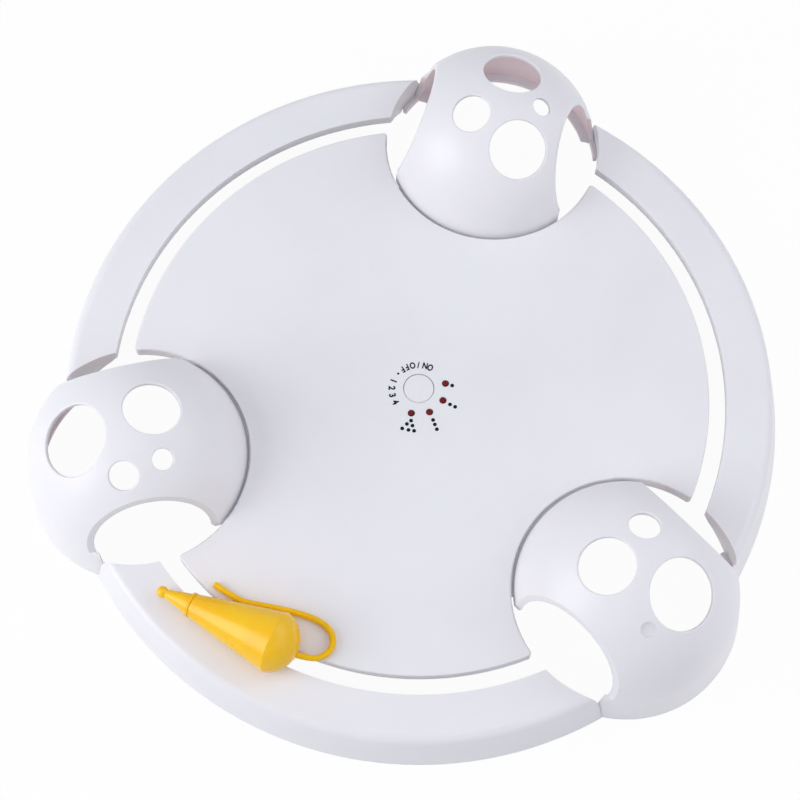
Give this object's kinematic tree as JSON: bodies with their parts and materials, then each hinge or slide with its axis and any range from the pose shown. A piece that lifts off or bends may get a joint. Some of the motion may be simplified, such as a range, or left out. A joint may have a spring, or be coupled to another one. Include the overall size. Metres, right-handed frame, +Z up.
{
  "type": "motorised cat toy turntable",
  "caption": "Round floor toy: a motor under the deck carries a yellow toy mouse on a peg round a circular slot, through domes with round holes.",
  "frame": {"origin": "on the floor, at the vertical axis of the round deck", "axes": "+Z up, +Y from the deck's axis through the axis of dome_1, +X to the right of that"},
  "size_m": [0.34, 0.3574, 0.0662],
  "materials": {
    "white_shell": "glossy white ABS",
    "inner_plastic": "plain white ABS",
    "gear_plastic": "natural acetal",
    "yellow_plastic": "glossy yellow ABS",
    "yellow_rubber": "soft yellow PVC",
    "steel": "zinc plated steel",
    "battery_steel": "plain battery jacket",
    "brass": "turned brass",
    "board": "green fibreglass laminate",
    "black_plastic": "black nylon",
    "red_lens": "red epoxy",
    "rubber": "soft dark rubber"
  },
  "bodies": {
    "frame": {"deck": "white_shell", "rim_segment_1": "white_shell", "rim_segment_2": "white_shell", "rim_segment_3": "white_shell", "dome_1": "white_shell", "dome_2": "white_shell", "dome_3": "white_shell", "core_housing": "inner_plastic", "base_plate": "inner_plastic", "battery_door": "inner_plastic", "door_screw": "steel", "batteries": "battery_steel", "battery_contacts": "steel", "motor": "steel", "gear_pin_1": "steel", "gear_pin_2": "steel", "circuit_board": "board", "board_screws": "steel", "tact_switch": "black_plastic", "indicator_leds": "red_lens", "base_screws": "steel", "dome_screws": "steel", "rim_screws": "steel", "rubber_feet": "rubber"},
    "carousel": {"carousel_ring": "gear_plastic", "sweep_arm": "gear_plastic", "arm_screws": "steel", "mouse_peg": "gear_plastic", "peg_clip": "steel"},
    "gear_2": {"gear_2": "gear_plastic"},
    "gear_1": {"gear_1": "gear_plastic"},
    "motor_rotor": {"motor_pinion": "brass", "motor_shaft": "steel"},
    "mouse": {"mouse_body": "yellow_plastic", "mouse_snout": "yellow_plastic", "mouse_base": "yellow_plastic", "mouse_tail": "yellow_rubber"},
    "button": {"button_cap": "white_shell", "switch_plunger": "black_plastic"}
  },
  "joints": [
    {"name": "arm_spin", "type": "hinge", "parent": "frame", "child": "carousel", "pos_m": [0, 0, 0.0075], "axis": [0, 0, 1], "continuous": true},
    {"name": "gear_2_spin", "type": "hinge", "parent": "frame", "child": "gear_2", "pos_m": [0, 0.066, 0.009], "axis": [0, 0, 1], "continuous": true},
    {"name": "gear_1_spin", "type": "hinge", "parent": "frame", "child": "gear_1", "pos_m": [0, 0.0484, 0.015], "axis": [0, 0, 1], "continuous": true},
    {"name": "motor_spin", "type": "hinge", "parent": "frame", "child": "motor_rotor", "pos_m": [0.01669, 0.04166, 0.018], "axis": [0, 0, 1], "continuous": true},
    {"name": "mouse_swivel", "type": "hinge", "parent": "carousel", "child": "mouse", "pos_m": [-0.04367, -0.13204, 0.027], "axis": [0, 0, 1], "range_deg": [-23.5, 4]},
    {"name": "button_press", "type": "slide", "parent": "frame", "child": "button", "axis": [0, 0, -1], "range_m": [0, 0.0008], "stiffness_N_per_m": 1500, "springref_m": -0.0005}
  ],
  "couplings": [
    {"joint": "gear_2_spin", "follows": "arm_spin", "ratio": 8.3333},
    {"joint": "gear_1_spin", "follows": "arm_spin", "ratio": -28.333},
    {"joint": "motor_spin", "follows": "arm_spin", "ratio": 141.67}
  ]
}
